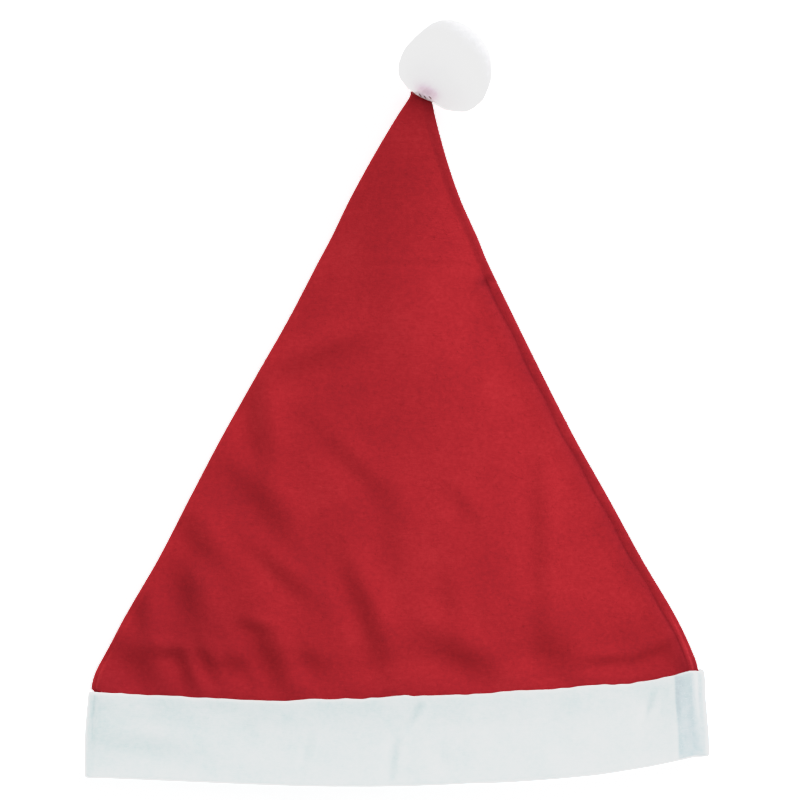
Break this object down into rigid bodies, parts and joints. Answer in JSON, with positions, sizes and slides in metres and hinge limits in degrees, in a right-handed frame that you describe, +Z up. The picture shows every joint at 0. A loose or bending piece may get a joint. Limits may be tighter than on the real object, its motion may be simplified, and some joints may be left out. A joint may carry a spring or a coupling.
{
  "type": "santa hat",
  "caption": "Soft cone-shaped felt hat lying flat, with a pale felt band round its opening and a fluffy pompom sewn to its leaning tip.",
  "frame": {"origin": "middle of the laid hat's plan, on the surface that it lies on", "axes": "+Y from the hem towards the tip, +Z up from the flat back to the puffed front, +X towards the side seam"},
  "size_m": [0.2902, 0.355, 0.0411],
  "materials": {
    "red_felt": "matte needled felt",
    "white_felt": "matte needled felt",
    "white_tufts": "soft loose fibre"
  },
  "bodies": {
    "root": {"crown": "red_felt", "band": "white_felt", "pompom": "white_tufts"}
  },
  "joints": []
}
